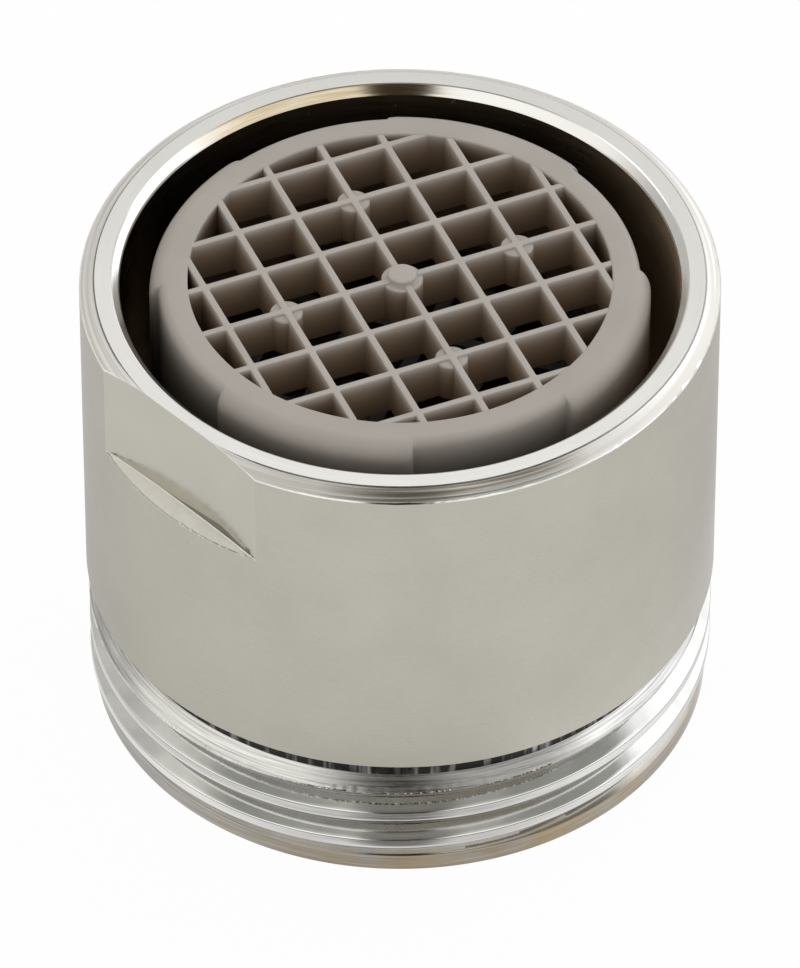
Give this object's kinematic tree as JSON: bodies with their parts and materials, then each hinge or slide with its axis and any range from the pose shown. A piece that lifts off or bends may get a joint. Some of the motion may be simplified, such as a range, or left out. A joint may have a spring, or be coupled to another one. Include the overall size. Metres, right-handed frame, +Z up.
{
  "type": "tap aerator",
  "caption": "Round tap aerator: plated housing with a male thread and a wrench flat, holding a grey insert with a square outlet grid.",
  "frame": {"origin": "middle of the washer's sealing face, at the bottom of the part as it stands on its inlet end", "axes": "+Z up along the axis, towards the outlet grid; the wrench flat faces -Y"},
  "size_m": [0.0164, 0.0164, 0.0141],
  "materials": {
    "plated_brass": "satin plated body, bright plated thread",
    "grey_moulding": "warm grey moulded plastic",
    "screen_moulding": "dark grey moulded plastic",
    "splitter_moulding": "grey moulded plastic",
    "strainer_moulding": "light grey moulded plastic",
    "seal_rubber": "black sealing rubber"
  },
  "bodies": {
    "root": {"housing": "plated_brass", "outlet_cup": "grey_moulding", "outlet_screen": "screen_moulding", "inlet_screen": "screen_moulding", "jet_splitter": "splitter_moulding", "strainer": "strainer_moulding", "sealing_washer": "seal_rubber"}
  },
  "joints": []
}
